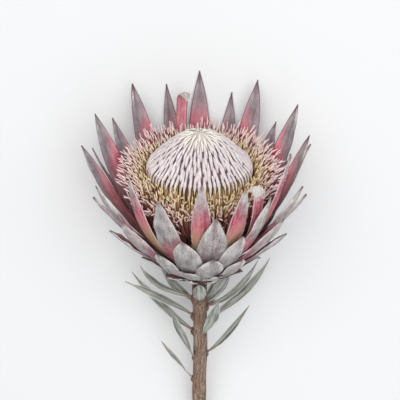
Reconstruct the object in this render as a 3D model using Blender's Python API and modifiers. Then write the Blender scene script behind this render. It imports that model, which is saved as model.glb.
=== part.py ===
"""A cut king protea flower that lies on its side.

The pieces are shaped in millimetres in the flower's own frame: Z is the stem's axis, pointing
to the head, the origin is the head's base, and an azimuth of 0 degrees is the front, 90 the
right. place() lays each one down, head towards +Y and front upward, and turns it to metres.
"""

import math
from collections import namedtuple

import bmesh
import bpy
from mathutils import Matrix, Vector

MM = 0.001
GAP = 0.35
GOLDEN_ANGLE = 137.508

# How the flower lies: its axis rises towards the head, which rests on its hind bracts.
RISE = 12.4
HEAD_BASE = (1.0, 10.5, 42.6)

# The stem
STEM_RADIUS = 5.4
STEM_LENGTH = 178
STEM_SIDES = 14
STEM_RINGS = 10

# The receptacle, a woody cone with the bracts on its flank and the florets on its top
FLANK_FOOT = (7.0, 1.5)
FLANK_TOP = (26.5, 35.5)
RECEPTACLE_TOP = 38.0
RECEPTACLE_SIDES = 20

# The closed florets: a dome, half an ellipsoid, on a body that widens from the receptacle
DOME_CENTRE = 102.0
DOME_RADIUS = 34.6
DOME_RISE = 23.2
DOME_POINT = 2.2
DOME_SIDES = 24

# The open florets
OPEN_FLORETS = 150
FLORET_SAG = 11
FLORET_TUCK = 4

# Blades
BRACT_THICKNESS = 1.1
SCALE_THICKNESS = 1.0
SCALE_SINK = 1.5
LEAF_THICKNESS = 0.8
LEAF_CLEARANCE = 0.75
TIP_WIDTH = 1.3
CURL_START = 0.74
CURL_TURN = 165

Blade = namedtuple(
    "Blade",
    "azimuth root bend tip width base widest blunt cup lean twist curl",
    defaults=(0.5, 0.5, 1.7, 0.5, 0, 0, 0),
)
Tier = namedtuple("Tier", "flank bend width base widest blunt cup")

# A tier's flank is the height of its roots, and its bend is the point (distance from the axis,
# height) that its blades curve round.
TIERS = {
    "inner": Tier(33.2, (60.0, 60.5), 16.5, 0.50, 0.64, 2.3, 0.45),
    "second": Tier(29.2, (57.0, 51.5), 17.0, 0.50, 0.60, 2.1, 0.45),
    "third": Tier(24.6, (53.0, 42.0), 20.0, 0.45, 0.60, 2.2, 0.50),
    "fourth": Tier(19.8, (47.2, 33.2), 20.0, 0.40, 0.66, 2.5, 0.50),
    "fifth": Tier(15.0, (40.5, 24.0), 17.5, 0.45, 0.66, 3.0, 0.45),
    "basal": Tier(10.6, (27.0, 18.0), 12.5, 0.40, 0.62, 3.0, 0.40),
    "lowest": Tier(6.0, (18.0, 9.0), 8.5, 0.50, 0.60, 2.5, 0.35),
}

# Each bract: azimuth, tip's distance from the axis, tip's height, width (0 takes the tier's),
# how far the root's azimuth lags the tip's, twist
BRACTS = {
    "inner": [
        (1, 72, 125, 13.0, 0, 0),
        (25, 72, 119, 14.5, 0, -8),
        (57, 72, 130, 14.0, 0, -12),
        (93, 77, 122, 14.5, 5, -23),
        (114, 77, 133, 15.5, -3, -34),
        (145, 75, 139, 0, -3, -18),
        (180, 73.9, 141, 0, 0, 0),
        (-139, 75, 138, 0, 4, 18),
        (-107, 78, 130, 0, 0, 34),
        (-82, 82, 122, 15.0, 0, 28),
        (-42, 70, 118, 15.0, 0, 12),
    ],
    "second": [
        (41, 72, 106, 15.5, 0, -8),
        (66, 77, 101, 15.5, 0, 26),
        (99, 80, 111, 15.0, 0, 22),
        (133, 78, 109, 15.5, 0, -20),
        (161, 74.6, 125, 15.5, 0, 0),
        (-161, 76.2, 131, 15.5, 0, 0),
        (-125, 78, 116, 15.5, 0, 20),
        (-103, 79, 105, 13.5, -2, -24),
        (-65, 78, 102, 0, 0, -24),
        (-22, 72, 110, 19.5, 0, 6),
    ],
    "third": [
        (9, 70, 98, 21.5, 0, 0),
        (52, 73, 83, 19.0, 0, 14),
        (86, 76, 80, 0, 0, 26),
        (118, 77, 88, 0, 0, 18),
        (150, 70, 94, 0, 0, 0),
        (180, 60, 76, 0, 0, 0),
        (-150, 71, 96, 0, 0, 0),
        (-120, 77, 88, 0, 0, -12),
        (-84, 76, 79, 0, 0, -22),
        (-48, 71, 82, 18.5, 0, -18),
    ],
    "fourth": [
        (27, 64, 77, 18.5, 5, -4),
        (-10.5, 64, 76, 20.5, -3, 4),
        (68, 66, 59, 17.5, 0, 10),
        (-72, 67, 59, 18.0, 0, -10),
        (110, 64, 60, 0, 0, 0),
        (155, 62, 60, 0, 0, 0),
        (-155, 62, 60, 0, 0, 0),
    ],
    "fifth": [
        (9, 59, 58, 19.0, 0, 0),
        (33, 54, 50, 17.0, 0, 0),
        (-30, 57, 57.5, 17.5, 0, 0),
        (82, 54, 41, 15.0, 0, 0),
        (-84, 55, 41, 15.0, 0, 0),
        (130, 52, 42, 0, 0, 0),
        (-130, 52, 42, 0, 0, 0),
        (180, 48, 37, 0, 0, 0),
    ],
    "basal": [
        (-12, 53, 44, 16.0, -4, 0),
        (17, 47, 35.5, 12.5, 0, 0),
        (52, 38, 26, 0, 0, 0),
        (80, 45, 28, 0, 0, 0),
        (-36, 40, 27, 0, 0, 0),
        (-78, 43, 29, 0, 0, 0),
        (115, 41, 26, 0, 0, 0),
        (-112, 42, 26, 0, 0, 0),
        (158, 38, 26, 0, 0, 0),
        (-155, 38, 26, 0, 0, 0),
    ],
    "lowest": [
        (-22, 20, 14.5, 0, 0, 0),
        (32, 22, 15.5, 0, 0, 0),
        (68, 34, 19.5, 9.5, 0, 0),
        (-58, 27, 16, 0, 0, 0),
        (-94, 37, 18.5, 9.5, 0, 0),
        (114, 31, 17, 0, 0, 0),
        (-140, 30, 17, 0, 0, 0),
        (170, 28, 16, 0, 0, 0),
    ],
}
LOOSE_TIERS = ("inner", "second", "third", "fourth")
# The tiers grown on the receptacle, with the rows of faces of their blades
FUSED_TIERS = {"fifth": 4, "basal": 3, "lowest": 3}

# The two inner bracts whose tips curl over: azimuth, hook's place, width, lean, hook's radius
CURLED_BRACTS = [(-170, (59.0, 127.0), 8.5, -10, 3.4), (42, (60.5, 101.5), 9.5, 0, 3.4)]
CURLED_ROOM = 10

# Each leaf: azimuth, root's height on the stem, bend, tip, width, twist
LEAVES = [
    (0, -11.5, (8.0, -5.5), (10.0, 5.4), 10.5, 0),
    (36, -43, (17, -27), (24, -3), 9.0, 60),
    (80, -64, (21, -51), (38, -16), 6.5, -55),
    (98, -21, (30, -17), (44, 16), 6.5, -50),
    (108, -34, (41, -20), (56, 11), 7.0, -55),
    (128, -19, (20, -17), (31, 0), 9.0, -40),
    (150, -27, (22, -26), (30, -8), 9.0, -30),
    (-88, -28.7, (24, -15.5), (56, 2.8), 6.5, 60),
    (-100, -43.6, (25, -33), (52, 4), 7.0, 55),
    (-98, -13, (35, -10.5), (45, 11), 6.5, 55),
    (-130, -18, (25, -17), (40, -1), 7.5, 40),
    (-56, -66, (17, -42), (25, -18.5), 7.5, -75),
    (-78, -89, (16, -74), (30, -50), 6.0, -75),
]


def polar(azimuth, radius, height):
    """The point at an azimuth in degrees: 0 is the front, 90 the right."""
    turn = math.radians(azimuth)
    return Vector((radius * math.sin(turn), -radius * math.cos(turn), height))


def mix(start, end, share):
    """The value or point a share of the way from start to end."""
    return start + (end - start) * share


def flank_radius(height):
    """How wide the receptacle is at a height on its flank."""
    share = (height - FLANK_FOOT[1]) / (FLANK_TOP[1] - FLANK_FOOT[1])
    return mix(FLANK_FOOT[0], FLANK_TOP[0], share)


# ---- Blades: bracts, scales and leaves ----


def curve_point(root, bend, tip, share):
    """A quadratic curve in the half-plane of distance from the axis and height."""
    return (1 - share) ** 2 * root + 2 * share * (1 - share) * bend + share**2 * tip


def meridian(blade, share):
    """The blade's middle line: distance from the axis and height, as a 2-D vector."""
    ends = [Vector(point) for point in (blade.root, blade.bend, blade.tip)]
    if not blade.curl:
        return curve_point(*ends, share)
    if share <= CURL_START:
        return curve_point(*ends, share / CURL_START)
    along = (ends[2] - ends[1]).normalized()
    inward = Vector((-along.y, along.x))
    angle = math.radians(CURL_TURN) * (share - CURL_START) / (1 - CURL_START)
    return ends[2] + blade.curl * (inward * (1 - math.cos(angle)) + along * math.sin(angle))


def half_width(blade, share):
    if share < blade.widest:
        part = mix(blade.base, 1, math.sin(math.pi / 2 * share / blade.widest))
    else:
        part = 1 - ((share - blade.widest) / (1 - blade.widest)) ** blade.blunt
    return max(blade.width * part, TIP_WIDTH) / 2


def blade_point(blade, share, side):
    """A point of the blade's middle surface: share runs root to tip, side -1 to 1 across it."""
    step = 1e-3
    before, after = (meridian(blade, at) for at in (share - step, share + step))
    along = (after - before).normalized()
    radius, height = meridian(blade, share)
    azimuth = blade.azimuth - blade.lean * (1 - share)
    outward = polar(azimuth, along.y, -along.x)
    across = polar(azimuth + 90, 1, 0)
    turn = math.radians(blade.twist) * share
    across, outward = (
        across * math.cos(turn) + outward * math.sin(turn),
        outward * math.cos(turn) - across * math.sin(turn),
    )
    half = half_width(blade, share)
    arc = half * abs(along.y) / max(radius, STEM_RADIUS) + blade.cup * share
    arc = max(arc, 0.02)
    bow = across * math.sin(arc * side) - outward * (1 - math.cos(arc * side))
    return polar(azimuth, radius, height) + bow * half / arc


def blade_object(name, blade, thickness, material, rows, columns=4):
    """The blade as a grid bent to its surface, cut alike on both faces and then thickened."""
    mesh = bmesh.new()
    bmesh.ops.create_grid(mesh, x_segments=columns, y_segments=rows, size=1)
    for vertex in mesh.verts:
        side, share = vertex.co.x, (vertex.co.y + 1) / 2
        vertex.co = blade_point(blade, share, side)
    bmesh.ops.triangulate(mesh, faces=mesh.faces[:], quad_method="FIXED")
    bmesh.ops.recalc_face_normals(mesh, faces=mesh.faces[:])
    result = object_from(mesh, name, material)
    solidify = result.modifiers.new("Thickness", "SOLIDIFY")
    solidify.thickness = thickness
    solidify.offset = 0
    apply_modifier(result, solidify)
    place(result)
    return result


def tier_blade(tier_name, azimuth, reach, height, width, lean, twist):
    """A bract of a tier, its inner face just clear of the receptacle's flank, or its root sunk in."""
    tier = TIERS[tier_name]
    flank = (Vector(FLANK_TOP) - Vector(FLANK_FOOT)).normalized()
    foot = Vector((flank_radius(tier.flank), tier.flank))
    along = (Vector(tier.bend) - foot).normalized()
    clearance = GAP + BRACT_THICKNESS / 2 * along.dot(flank)
    if tier_name in FUSED_TIERS:
        clearance = -SCALE_SINK
    root = foot + Vector((flank.y, -flank.x)) * clearance
    shape = (tier.base, tier.widest, tier.blunt, tier.cup)
    return Blade(azimuth, root, tier.bend, (reach, height), width or tier.width, *shape, lean, twist)


# ---- Solids ----


def object_from(mesh, name, material):
    """A new object in the flower's collection, from a bmesh in millimetres."""
    data = bpy.data.meshes.new(name)
    mesh.to_mesh(data)
    mesh.free()
    data.materials.append(material)
    result = bpy.data.objects.new(name, data)
    bpy.data.collections["King protea"].objects.link(result)
    return result


def apply_modifier(piece, modifier):
    bpy.context.view_layer.objects.active = piece
    bpy.ops.object.modifier_apply(modifier=modifier.name)


def place(piece):
    """Lays a piece down in the row's frame, in metres, flat where it is pressed to the surface."""
    lying = Matrix.Rotation(math.radians(RISE - 90), 4, "X")
    piece.data.transform(Matrix.Translation(HEAD_BASE) @ lying)
    if min(vertex.co.z for vertex in piece.data.vertices) < 0:
        press_flat(piece)
    piece.data.transform(Matrix.Scale(MM, 4))


def press_flat(piece):
    """Takes off what reaches below the surface, and closes the piece with a flat spot there."""
    mesh = bmesh.new()
    mesh.from_mesh(piece.data)
    everything = mesh.verts[:] + mesh.edges[:] + mesh.faces[:]
    cut = bmesh.ops.bisect_plane(
        mesh, geom=everything, plane_co=(0, 0, 0), plane_no=(0, 0, -1), clear_outer=True
    )
    rim = [item for item in cut["geom_cut"] if isinstance(item, bmesh.types.BMEdge)]
    bmesh.ops.holes_fill(mesh, edges=rim)
    mesh.to_mesh(piece.data)
    mesh.free()


def lathe(name, profile, sides, material):
    """A solid turned from its profile, a closed loop of (distance from the axis, height)."""
    mesh = bmesh.new()
    points = [mesh.verts.new((radius, 0, height)) for radius, height in profile]
    edges = [mesh.edges.new((a, b)) for a, b in zip(points, points[1:] + points[:1])]
    bmesh.ops.spin(
        mesh,
        geom=points + edges,
        cent=(0, 0, 0),
        axis=(0, 0, 1),
        angle=2 * math.pi,
        steps=sides,
        use_merge=True,
    )
    bmesh.ops.remove_doubles(mesh, verts=mesh.verts[:], dist=1e-4)
    bmesh.ops.dissolve_degenerate(mesh, dist=1e-4, edges=mesh.edges[:])
    loose = [edge for edge in mesh.edges if not edge.link_faces]
    bmesh.ops.delete(mesh, geom=loose, context="EDGES")
    bmesh.ops.recalc_face_normals(mesh, faces=mesh.faces[:])
    result = object_from(mesh, name, material)
    place(result)
    return result


def rod(name, spine, radii, sides, facing, material):
    """A closed rod of few sides along a spine, with one corner towards the facing vector."""
    mesh = bmesh.new()
    rings = []
    for index, (centre, radius) in enumerate(zip(spine, radii)):
        ahead = spine[min(index + 1, len(spine) - 1)] - spine[max(index - 1, 0)]
        ahead.normalize()
        up = (facing - ahead * facing.dot(ahead)).normalized()
        right = ahead.cross(up)
        turns = [2 * math.pi * corner / sides for corner in range(sides)]
        corners = [centre + (up * math.cos(t) + right * math.sin(t)) * radius for t in turns]
        rings.append([mesh.verts.new(corner) for corner in corners])
    for lower, upper in zip(rings, rings[1:]):
        for corner in range(sides):
            after = (corner + 1) % sides
            mesh.faces.new((lower[corner], lower[after], upper[after], upper[corner]))
    mesh.faces.new(rings[0][::-1])
    mesh.faces.new(rings[-1])
    bmesh.ops.recalc_face_normals(mesh, faces=mesh.faces[:])
    result = object_from(mesh, name, material)
    place(result)
    return result


def fuse(core, repeats):
    """Joins the repeats to the core in one Boolean union, applies it and drops them."""
    group = bpy.data.collections.new("Repeats")
    bpy.context.scene.collection.children.link(group)
    for piece in repeats:
        group.objects.link(piece)
    union = core.modifiers.new("Union", "BOOLEAN")
    union.operation = "UNION"
    union.operand_type = "COLLECTION"
    union.collection = group
    union.solver = "MANIFOLD"
    apply_modifier(core, union)
    for piece in repeats:
        bpy.data.objects.remove(piece)
    bpy.data.collections.remove(group)


def finish(name, colour, roughness):
    """A Principled material."""
    material = bpy.data.materials.new(name)
    material.use_nodes = True
    shader = material.node_tree.nodes["Principled BSDF"]
    shader.inputs["Base Color"].default_value = (*colour, 1)
    shader.inputs["Roughness"].default_value = roughness
    material.diffuse_color = (*colour, 1)
    return material


# ---- The flower's pieces ----


def make_bracts():
    """The bracts of the four upper tiers, and the two curled ones of the inner tier."""
    number = 0
    for tier_name in LOOSE_TIERS:
        for row in BRACTS[tier_name]:
            number += 1
            name = f"bract_{number:02d}_{tier_name}"
            material = finish(name, (0.46, 0.30, 0.33), 0.7)
            blade_object(name, tier_blade(tier_name, *row), BRACT_THICKNESS, material, 6)
    for azimuth, hook, width, lean, curl in CURLED_BRACTS:
        number += 1
        name = f"bract_{number:02d}_curled"
        material = finish(name, (0.55, 0.25, 0.32), 0.7)
        blade = tier_blade("inner", azimuth, *hook, width, lean, 0)
        blade = blade._replace(curl=curl, blunt=4, widest=0.6)
        blade_object(name, blade, BRACT_THICKNESS, material, 9)


def make_receptacle():
    """The receptacle, with the small bracts below the others grown on it."""
    material = finish("receptacle", (0.35, 0.33, 0.30), 0.8)
    profile = [(0, 0), (5.2, 0), FLANK_FOOT, FLANK_TOP, (25.0, RECEPTACLE_TOP), (0, RECEPTACLE_TOP)]
    core = lathe("receptacle", profile, RECEPTACLE_SIDES, material)
    scales = []
    for tier_name in FUSED_TIERS:
        for row in BRACTS[tier_name]:
            blade = tier_blade(tier_name, *row)
            rows = FUSED_TIERS[tier_name]
            scales.append(blade_object("scale", blade, SCALE_THICKNESS, material, rows, 3))
    fuse(core, scales)


def dome_point(azimuth, angle, lift):
    """A point over the dome: the angle is 0 at the rim and 90 at the top."""
    turn = math.radians(angle)
    above = math.sin(turn) if turn < 0 else math.sin(turn) ** DOME_POINT
    across = (DOME_RADIUS + lift) * math.cos(turn)
    return polar(azimuth, across, DOME_CENTRE + (DOME_RISE + lift) * above)


def make_closed_florets():
    """The dome of closed florets, their styles in rings that lean to the top."""
    material = finish("closed_florets", (0.80, 0.68, 0.71), 0.7)
    foot = RECEPTACLE_TOP + GAP
    dome = [dome_point(90, angle, 0).xz for angle in (0, 20, 40, 60, 78)]
    profile = [(0, foot), (16.5, foot), (28.5, 66), (33.6, 86), *dome]
    profile.append((0, DOME_CENTRE + DOME_RISE))
    core = lathe("closed_florets", profile, DOME_SIDES, material)
    # Each ring: how many, the angles of the root, middle and tip
    rings = [
        (42, (-30, -6, 14)),
        (36, (12, 26, 38)),
        (27, (36, 48, 58)),
        (16, (56, 66, 74)),
        (7, (72, 80, 87)),
    ]
    styles = []
    for ring, (count, angles) in enumerate(rings):
        for index in range(count):
            azimuth = 360 * (index + 0.5 * (ring % 2)) / count
            lifts = (-1.9, 1.5, 1.6)
            spine = [dome_point(azimuth, angle, lift) for angle, lift in zip(angles, lifts)]
            facing = dome_point(azimuth, angles[1], 1) - dome_point(azimuth, angles[1], 0)
            styles.append(rod("style", spine, (1.8, 1.7, 1.3), 3, facing, material))
    fuse(core, styles)


def near_curled_bract(azimuth):
    """Whether a floret at this azimuth would reach a curled bract's hook."""
    turns = (azimuth - bract[0] for bract in CURLED_BRACTS)
    return any(abs((turn + 180) % 360 - 180) < CURLED_ROOM for turn in turns)


def make_open_florets():
    """The ring of open florets round the dome, bent outward over a solid mass of stalks."""
    material = finish("open_florets", (0.72, 0.55, 0.38), 0.7)
    foot = RECEPTACLE_TOP + GAP
    profile = [(17.2, foot), (24.5, foot), (29.5, 43), (36, 54), (39.5, 66), (42, 75), (33.4, 77.5)]
    profile.append((29.1, 66))
    core = lathe("open_florets", profile, DOME_SIDES, material)
    florets = []
    for index in range(OPEN_FLORETS):
        share = ((index + 0.5) / OPEN_FLORETS) ** 0.8
        azimuth = index * GOLDEN_ANGLE
        if near_curled_bract(azimuth):
            share *= 0.2
        front = math.cos(math.radians(azimuth))
        sag = FLORET_SAG * share * front
        tuck = FLORET_TUCK * share * max(front, 0)
        root = polar(azimuth, mix(35.5, 34.0, share), mix(74, 53, share))
        knee = polar(azimuth, mix(42.5, 54.5, share) - tuck, mix(95, 93.5, share) - sag)
        tip = polar(azimuth, mix(48.5, 61.8, share) - tuck, mix(102, 100.5, share) - sag)
        facing = polar(azimuth, 1, 0)
        florets.append(rod("floret", [root, knee, tip], (1.1, 0.95, 0.6), 3, facing, material))
    fuse(core, florets)


def make_stem():
    """The woody stem, slightly crooked, with the knobs that the leaves grow from."""
    material = finish("stem", (0.30, 0.22, 0.17), 0.8)
    spine = []
    radii = []
    for ring in range(STEM_RINGS + 1):
        share = ring / STEM_RINGS
        sway = 0.5 * math.sin(math.pi * share) * math.sin(7 * share)
        spine.append(Vector((sway, 0, -GAP - (STEM_LENGTH - GAP) * share)))
        radii.append(STEM_RADIUS + 0.15 * math.sin(23 * share))
    core = rod("stem", spine, radii, STEM_SIDES, Vector((0, -1, 0)), material)
    knobs = []
    for azimuth, height, *_ in LEAVES:
        places = ((STEM_RADIUS - 2.3, height - 3.6), (STEM_RADIUS + 0.2, height - 2.0))
        low, high = (polar(azimuth, *place) for place in places)
        knobs.append(rod("knob", [low, high], (2.2, 1.2), 5, Vector((0, 0, 1)), material))
    fuse(core, knobs)


def make_leaves():
    for number, (azimuth, height, bend, tip, width, twist) in enumerate(LEAVES, 1):
        name = f"leaf_{number:02d}"
        material = finish(name, (0.28, 0.32, 0.25), 0.7)
        root = (STEM_RADIUS + LEAF_CLEARANCE, height)
        blade = Blade(azimuth, root, bend, tip, width, 0.45, 0.5, 1.9, 0.35, 0, twist)
        blade_object(name, blade, LEAF_THICKNESS, material, 7, 2)


def main():
    for leftover in list(bpy.data.objects):
        bpy.data.objects.remove(leftover)
    flower = bpy.data.collections.new("King protea")
    bpy.context.scene.collection.children.link(flower)
    make_stem()
    make_leaves()
    make_receptacle()
    make_bracts()
    make_open_florets()
    make_closed_florets()


main()
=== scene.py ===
"""The looks of a cut king protea flower that lies on its side, its head towards +Y.

Every piece is shaped in millimetres in the flower's own frame, as its CAD solid is: Z is the
stem's axis, pointing to the head, the origin is the head's base, and an azimuth of 0 degrees is
the front, 90 the right. lay_down() turns a piece to the row's frame, in metres.
"""

import math
from collections import namedtuple

import bpy
import numpy as np
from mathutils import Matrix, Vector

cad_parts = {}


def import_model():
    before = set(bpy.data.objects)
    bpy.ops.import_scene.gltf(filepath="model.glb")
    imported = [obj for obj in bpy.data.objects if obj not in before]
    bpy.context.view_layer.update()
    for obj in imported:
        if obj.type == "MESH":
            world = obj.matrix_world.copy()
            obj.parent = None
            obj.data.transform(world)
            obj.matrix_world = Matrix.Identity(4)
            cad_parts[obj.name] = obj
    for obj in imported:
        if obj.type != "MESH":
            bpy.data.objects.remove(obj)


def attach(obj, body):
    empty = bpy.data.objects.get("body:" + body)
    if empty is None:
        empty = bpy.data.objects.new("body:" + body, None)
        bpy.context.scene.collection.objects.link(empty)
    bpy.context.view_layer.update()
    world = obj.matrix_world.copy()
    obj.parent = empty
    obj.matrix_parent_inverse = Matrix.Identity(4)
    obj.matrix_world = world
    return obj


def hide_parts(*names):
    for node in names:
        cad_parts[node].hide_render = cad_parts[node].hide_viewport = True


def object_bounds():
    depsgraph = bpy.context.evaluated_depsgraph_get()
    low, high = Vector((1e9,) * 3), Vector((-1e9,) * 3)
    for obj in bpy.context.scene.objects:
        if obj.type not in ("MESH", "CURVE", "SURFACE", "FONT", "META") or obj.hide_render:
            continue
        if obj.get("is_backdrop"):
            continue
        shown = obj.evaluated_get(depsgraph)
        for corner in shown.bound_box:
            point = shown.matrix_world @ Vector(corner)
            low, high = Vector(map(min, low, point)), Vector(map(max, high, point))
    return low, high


MM = 0.001
GAP = 0.35
GOLDEN_ANGLE = 137.508
FLOOR_DROP = 0.1

# How the flower lies: its axis rises towards the head, which rests on its hind bracts.
RISE = 12.4
HEAD_BASE = (1.0, 10.5, 42.6)

# The camera looks at the middle of the flower's head, from above its front.
VIEW_ELEVATION = 30.0
VIEW_HEIGHT = 72.1
VIEW_ASIDE = 0.3
VIEW_DISTANCE = 800.0
VIEW_LENS = 100.0

# ---- The flower's measures, the same as its CAD source has

STEM_RADIUS = 5.4
STEM_LENGTH = 178
FLANK_FOOT = (7.0, 1.5)
FLANK_TOP = (26.5, 35.5)
RECEPTACLE_TOP = 38.0
DOME_CENTRE = 102.0
DOME_RADIUS = 34.6
DOME_RISE = 23.2
DOME_POINT = 2.2
FLORET_SAG = 11
FLORET_TUCK = 4
BRACT_THICKNESS = 1.1
SCALE_THICKNESS = 1.0
SCALE_SINK = 1.5
LEAF_THICKNESS = 0.8
LEAF_CLEARANCE = 0.75
TIP_WIDTH = 1.3
CURL_START = 0.74
CURL_TURN = 165

Blade = namedtuple(
    "Blade", "azimuth root bend tip width base widest blunt cup lean twist curl", defaults=[0]
)
Tier = namedtuple("Tier", "flank bend width base widest blunt cup")
# How a tier's bracts are dressed: their downy silver where it is thinnest and thickest, the
# shares between which it thickens, the blush, the share that the ochre reaches, and how strong the
# dark maroon at the root is, partly the bracts' real colour and partly painted shade
Dress = namedtuple("Dress", "low high start end blush ochre dusk")

TIERS = {
    "inner": Tier(33.2, (60.0, 60.5), 16.5, 0.50, 0.64, 2.3, 0.45),
    "second": Tier(29.2, (57.0, 51.5), 17.0, 0.50, 0.60, 2.1, 0.45),
    "third": Tier(24.6, (53.0, 42.0), 20.0, 0.45, 0.60, 2.2, 0.50),
    "fourth": Tier(19.8, (47.2, 33.2), 20.0, 0.40, 0.66, 2.5, 0.50),
    "fifth": Tier(15.0, (40.5, 24.0), 17.5, 0.45, 0.66, 3.0, 0.45),
    "basal": Tier(10.6, (27.0, 18.0), 12.5, 0.40, 0.62, 3.0, 0.40),
    "lowest": Tier(6.0, (18.0, 9.0), 8.5, 0.50, 0.60, 2.5, 0.35),
}
DRESSES = {
    "inner": Dress(-0.3, 1.1, 0.57, 0.98, 0.95, 0.66, 0.0),
    "second": Dress(-0.3, 1.2, 0.28, 0.76, 0.85, 0.3, 0.35),
    "third": Dress(-0.2, 1.05, 0.10, 0.58, 0.75, 0, 0.6),
    "fourth": Dress(-0.3, 1.5, 0.2, 0.65, 0.5, 0, 0.8),
    "fifth": Dress(-0.3, 1.5, 0.1, 0.5, 0.3, 0, 0.9),
    "basal": Dress(-0.3, 1.4, 0.1, 0.5, 0.2, 0, 0.9),
    "lowest": Dress(-0.3, 1.2, 0.1, 0.5, 0.1, 0, 0.9),
}

# Each bract: azimuth, tip's distance from the axis and height, and where they aren't 0, its
# width (0 takes the tier's), how far its root's azimuth lags its tip's, and its twist
BRACTS = {
    "inner": [
        (1, 72, 125, 13.0), (25, 72, 119, 14.5, 0, -8), (57, 72, 130, 14.0, 0, -12),
        (93, 77, 122, 14.5, 5, -23), (114, 77, 133, 15.5, -3, -34), (145, 75, 139, 0, -3, -18),
        (180, 73.9, 141), (-139, 75, 138, 0, 4, 18), (-107, 78, 130, 0, 0, 34),
        (-82, 82, 122, 15.0, 0, 28), (-42, 70, 118, 15.0, 0, 12),
    ],
    "second": [
        (41, 72, 106, 15.5, 0, -8), (66, 77, 101, 15.5, 0, 26), (99, 80, 111, 15.0, 0, 22),
        (133, 78, 109, 15.5, 0, -20), (161, 74.6, 125, 15.5), (-161, 76.2, 131, 15.5),
        (-125, 78, 116, 15.5, 0, 20), (-103, 79, 105, 13.5, -2, -24), (-65, 78, 102, 0, 0, -24),
        (-22, 72, 110, 19.5, 0, 6),
    ],
    "third": [
        (9, 70, 98, 21.5), (52, 73, 83, 19.0, 0, 14), (86, 76, 80, 0, 0, 26),
        (118, 77, 88, 0, 0, 18), (150, 70, 94), (180, 60, 76), (-150, 71, 96),
        (-120, 77, 88, 0, 0, -12), (-84, 76, 79, 0, 0, -22), (-48, 71, 82, 18.5, 0, -18),
    ],
    "fourth": [
        (27, 64, 77, 18.5, 5, -4), (-10.5, 64, 76, 20.5, -3, 4), (68, 66, 59, 17.5, 0, 10),
        (-72, 67, 59, 18.0, 0, -10), (110, 64, 60), (155, 62, 60), (-155, 62, 60),
    ],
    "fifth": [
        (9, 59, 58, 19.0), (33, 54, 50, 17.0), (-30, 57, 57.5, 17.5), (82, 54, 41, 15.0),
        (-84, 55, 41, 15.0), (130, 52, 42), (-130, 52, 42), (180, 48, 37),
    ],
    "basal": [
        (-12, 53, 44, 16.0, -4), (17, 47, 35.5, 12.5), (52, 38, 26), (80, 45, 28), (-36, 40, 27),
        (-78, 43, 29), (115, 41, 26), (-112, 42, 26), (158, 38, 26), (-155, 38, 26),
    ],
    "lowest": [
        (-22, 20, 14.5), (32, 22, 15.5), (68, 34, 19.5, 9.5), (-58, 27, 16), (-94, 37, 18.5, 9.5),
        (114, 31, 17), (-140, 30, 17), (170, 28, 16),
    ],
}
LOOSE_TIERS = ("inner", "second", "third", "fourth")
FUSED_TIERS = ("fifth", "basal", "lowest")

# The two inner bracts whose tips curl over: azimuth, hook's place, width, lean
CURLED_BRACTS = [(-170, (59.0, 127.0), 8.5, -10), (42, (60.5, 101.5), 9.5, 0)]
HOOK_RADIUS = 3.4
HOOK_ROOM = 10

# Each leaf: azimuth, root's height on the stem, bend, tip, width, twist
LEAVES = [
    (0, -11.5, (8.0, -5.5), (10.0, 5.4), 10.5, 0), (36, -43, (17, -27), (24, -3), 9.0, 60),
    (80, -64, (21, -51), (38, -16), 6.5, -55), (98, -21, (30, -17), (44, 16), 6.5, -50),
    (108, -34, (41, -20), (56, 11), 7.0, -55), (128, -19, (20, -17), (31, 0), 9.0, -40),
    (150, -27, (22, -26), (30, -8), 9.0, -30), (-88, -28.7, (24, -15.5), (56, 2.8), 6.5, 60),
    (-100, -43.6, (25, -33), (52, 4), 7.0, 55), (-98, -13, (35, -10.5), (45, 11), 6.5, 55),
    (-130, -18, (25, -17), (40, -1), 7.5, 40), (-56, -66, (17, -42), (25, -18.5), 7.5, -75),
    (-78, -89, (16, -74), (30, -50), 6.0, -75),
]

# ---- What the looks add

BRACT_GRID = (56, 18)
CURLED_GRID = (90, 18)
SCALE_GRID = (36, 18)
LEAF_GRID = (60, 16)
STEM_GRID = (260, 72)
STYLE_SIDES = 9
STALK_SIDES = 6
FLORET_SIDES = 5
FLUTES = 3
TURNED_SIDES = 72
RING_SIDES = 96

LONG_STYLES = 66
SHORT_STYLES = 185
YOUNG_STALKS = 270
OPEN_FLORETS = 1260
OLD_SCARS = 46
MARGIN_HAIRS = 240
LEAF_HAIRS = 60
HOOD_HAIRS = 2600
CREST_HAIRS = 2600
APEX_HAIRS = 1400
TIP_HAIRS = 6

STYLE_RADIUS = 1.3
FALLEN_SAG = 13.0
FALLEN_TUCK = 4.5
# The share of a curled bract's length at which its woolly hood starts
FRONT_HOOD = 0.72
BACK_HOOD = 0.84

RECEPTACLE_SEED = 70
CLOSED_SEED = 80
OPEN_SEED = 90
STEM_SEED = 100
LEAF_SEED = 200

FLOOR_REACH = 6.0
LIT_POINT = (0, 0.08, 0.06)
# Each light: name, place, size, power, tint
LIGHTS = [
    ("Key", (-0.8, 1.4, 2.8), 2.6, 58.0, (1.0, 0.99, 0.97)),
    ("Side", (1.0, 0.9, 2.6), 2.6, 44.0, (1, 1, 1)),
    ("Fill", (0.35, -0.55, 1.5), 0.9, 4.5, (1, 1, 1)),
]


# ---- Points and numbers, all as numpy arrays


def polar(azimuth, radius, height):
    """Points at azimuths in degrees."""
    turn = np.radians(azimuth)
    parts = np.broadcast_arrays(radius * np.sin(turn), -radius * np.cos(turn), height)
    return np.stack(parts, -1).astype(float)


def mix(start, end, share):
    """The value or point a share of the way from start to end."""
    return start + (end - start) * share


def ease(low, high, value):
    """0 up to low, 1 from high on, and a smooth rise between."""
    share = np.clip((value - low) / (high - low), 0, 1)
    return share * share * (3 - 2 * share)


def unit(vectors):
    """The vectors at length 1."""
    return vectors / np.maximum(np.linalg.norm(vectors, axis=-1, keepdims=True), 1e-9)


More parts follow.
